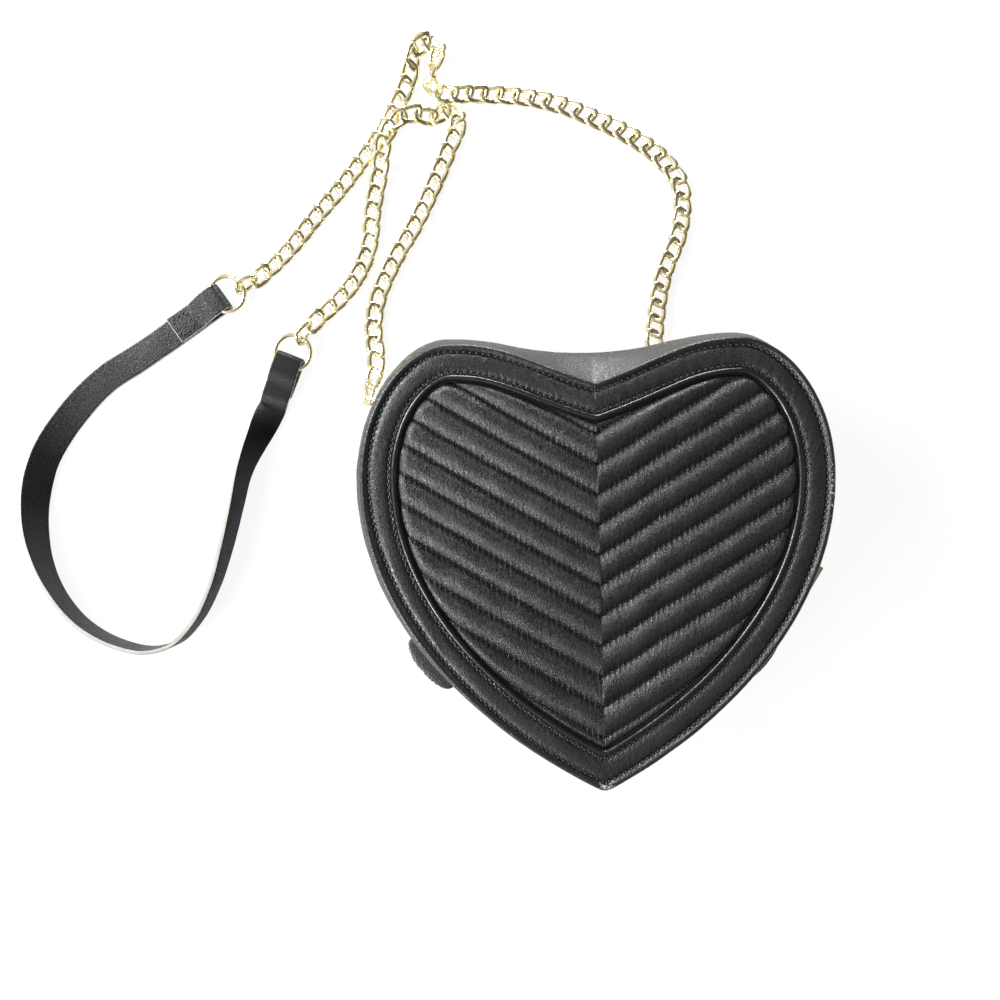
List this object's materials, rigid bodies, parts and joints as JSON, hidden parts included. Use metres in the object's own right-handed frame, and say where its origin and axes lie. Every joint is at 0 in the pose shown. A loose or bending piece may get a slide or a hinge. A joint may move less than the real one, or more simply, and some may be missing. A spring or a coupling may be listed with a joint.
{
  "type": "heart shaped purse",
  "caption": "Heart shaped purse lying on its back, with a quilted front, a zip round its gusset and a chain and leather shoulder strap.",
  "frame": {"origin": "under the middle of the purse without its strap, on the surface that its back rests on", "axes": "+X across the heart towards its right side, +Y from the tip towards the lobes, +Z out of the front"},
  "size_m": [0.3576, 0.3367, 0.0579],
  "materials": {
    "leather": "smooth black leather, soft gloss",
    "quilted_leather": "black lamb leather with fine grain, quilted",
    "piping_leather": "black leather rolled over a cord, glossy",
    "strap_leather": "pebbled black leather with painted edges",
    "lining": "black twill",
    "zip_tape": "woven black tape",
    "zip_coil": "black nylon coil",
    "gold": "pale gold plating, polished",
    "board": "grey fibre board",
    "foam": "grey wadding"
  },
  "bodies": {
    "back": {"back_panel": "leather", "back_board": "board", "lining_back": "lining", "back_piping": "piping_leather", "back_gusset": "leather", "lining_wall_back": "lining", "zip_tape_back": "zip_tape", "zip_coil_back": "zip_coil", "bottom_gusset": "leather", "lining_bottom": "lining", "zip_end_tab_left": "leather", "zip_end_tab_right": "leather", "d_ring_tab_left": "leather", "d_ring_tab_right": "leather", "end_link_left": "gold", "end_link_right": "gold", "chain_left": "gold", "chain_right": "gold", "o_ring_left": "gold", "o_ring_right": "gold", "strap_fold_left": "strap_leather", "strap_fold_right": "strap_leather", "strap": "strap_leather"},
    "front": {"front_board": "board", "quilt_foam": "foam", "quilted_panel": "quilted_leather", "front_border": "leather", "panel_piping": "piping_leather", "front_piping": "piping_leather", "front_gusset": "leather", "lining_front": "lining", "lining_wall_front": "lining", "zip_tape_front": "zip_tape", "zip_coil_front": "zip_coil"},
    "slider": {"zip_slider": "gold"},
    "pull": {"zip_pull": "gold"},
    "d_ring_left": {"d_ring_left": "gold"},
    "d_ring_right": {"d_ring_right": "gold"}
  },
  "joints": [
    {"name": "front_open", "type": "hinge", "parent": "back", "child": "front", "pos_m": [0, -0.04232, 0.0285], "axis": [1, 0, 0], "range_deg": [0, 25], "deforming": ["bottom_gusset", "lining_bottom"]},
    {"name": "zip_slide", "type": "hinge", "parent": "back", "child": "slider", "pos_m": [-0.01901, 0.0379, 0.0285], "axis": [0, 0, 1], "range_deg": [0, 22.1]},
    {"name": "pull_swing", "type": "hinge", "parent": "slider", "child": "pull", "pos_m": [0.08442, -0.02776, 0.0285], "axis": [0, 0, -1], "range_deg": [0, 110]},
    {"name": "d_ring_left_swing", "type": "hinge", "parent": "back", "child": "d_ring_left", "pos_m": [-0.03433, 0.09213, 0.0112], "axis": [0.9732, -0.23, 0], "range_deg": [-12, 12]},
    {"name": "d_ring_right_swing", "type": "hinge", "parent": "back", "child": "d_ring_right", "pos_m": [0.03433, 0.09213, 0.0112], "axis": [0.9732, 0.23, 0], "range_deg": [-12, 12]}
  ]
}
